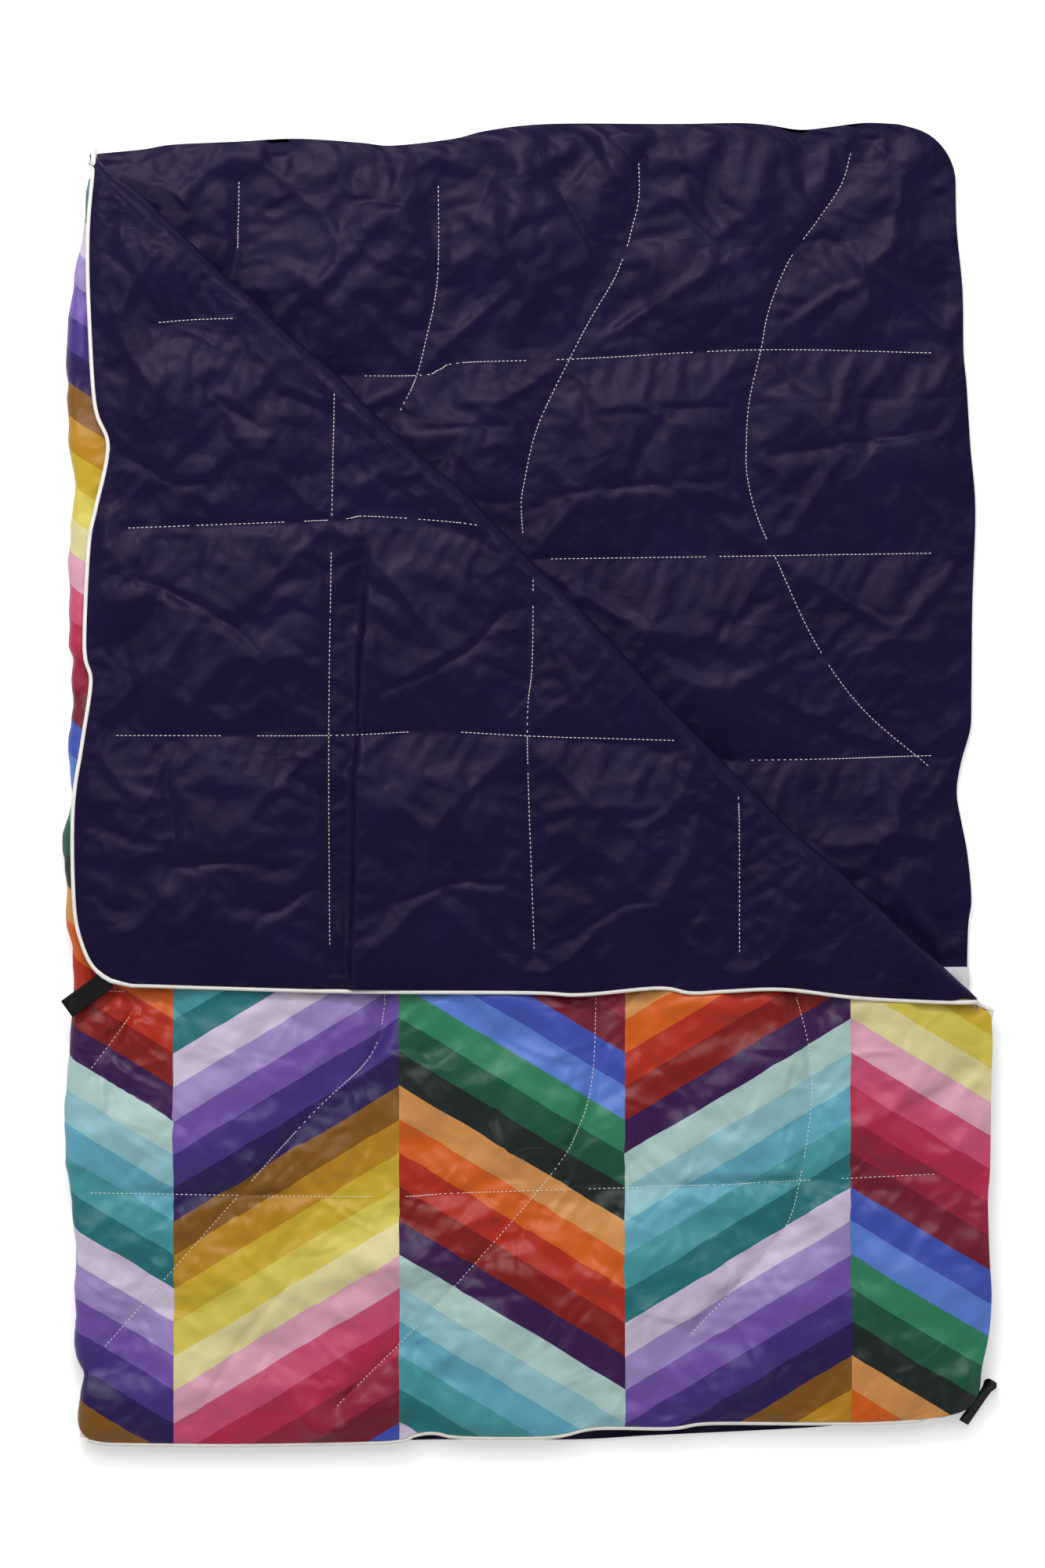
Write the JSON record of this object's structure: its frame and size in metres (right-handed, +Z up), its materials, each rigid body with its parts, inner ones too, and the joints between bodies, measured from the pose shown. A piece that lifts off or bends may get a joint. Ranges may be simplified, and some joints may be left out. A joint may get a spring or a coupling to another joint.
{
  "type": "rectangular sleeping bag",
  "caption": "Quilted rectangular sleeping bag of padded cloth with piped edges, folded in half with its head corner turned back; opens flat like a blanket and hangs by its webbing loops.",
  "frame": {"origin": "middle of the folded bag's underside, on the floor it lies on", "axes": "+X across the bag from the side fold to the piped edge, +Y from foot to head, +Z up"},
  "size_m": [0.9469, 1.3332, 0.0492],
  "materials": {
    "shell": "printed plain weave with a soft sheen",
    "lining": "plain weave with a satin sheen",
    "batting": "loose white fibre",
    "piping": "matt bias tape",
    "cord": "matt twisted cord",
    "webbing": "matt ribbed weave",
    "label": "fine ribbed satin"
  },
  "bodies": {
    "lower_half": {"lower_shell": "shell", "lower_batting": "batting", "lower_lining": "lining", "lower_piping": "piping", "lower_piping_cord": "cord", "care_label": "label", "side_fold_shell": "shell", "side_fold_batting": "batting", "side_fold_piping": "piping"},
    "upper_half": {"upper_shell": "shell", "upper_batting": "batting", "upper_lining": "lining", "upper_piping": "piping", "upper_piping_cord": "cord", "corner_fold_lining": "lining", "corner_fold_batting": "batting", "corner_fold_piping": "piping"},
    "corner_flap": {"flap_shell": "shell", "flap_batting": "batting", "flap_lining": "lining", "flap_piping": "piping", "flap_piping_cord": "cord"},
    "flap_loop": {"flap_loop": "webbing"},
    "foot_loop": {"foot_loop": "webbing"}
  },
  "joints": [
    {"name": "half_fold", "type": "hinge", "parent": "lower_half", "child": "upper_half", "pos_m": [-0.447, 0, 0.0163], "axis": [0, -1, 0], "range_deg": [0, 180], "deforming": ["side_fold_shell", "side_fold_batting", "side_fold_piping"]},
    {"name": "corner_fold", "type": "hinge", "parent": "upper_half", "child": "corner_flap", "pos_m": [0.115, 0.115, 0.0329], "axis": [-0.7071, 0.7071, 0], "range_deg": [0, 180], "deforming": ["corner_fold_lining", "corner_fold_batting", "corner_fold_piping"]},
    {"name": "flap_loop_bend", "type": "hinge", "parent": "corner_flap", "child": "flap_loop", "pos_m": [-0.42037, -0.20024, 0.0374], "axis": [-0.5878, 0.809, 0], "range_deg": [0, 70]},
    {"name": "foot_loop_bend", "type": "hinge", "parent": "upper_half", "child": "foot_loop", "pos_m": [0.44625, -0.63979, 0.0216], "axis": [0.4096, -0.2868, -0.866], "range_deg": [0, 80]}
  ]
}
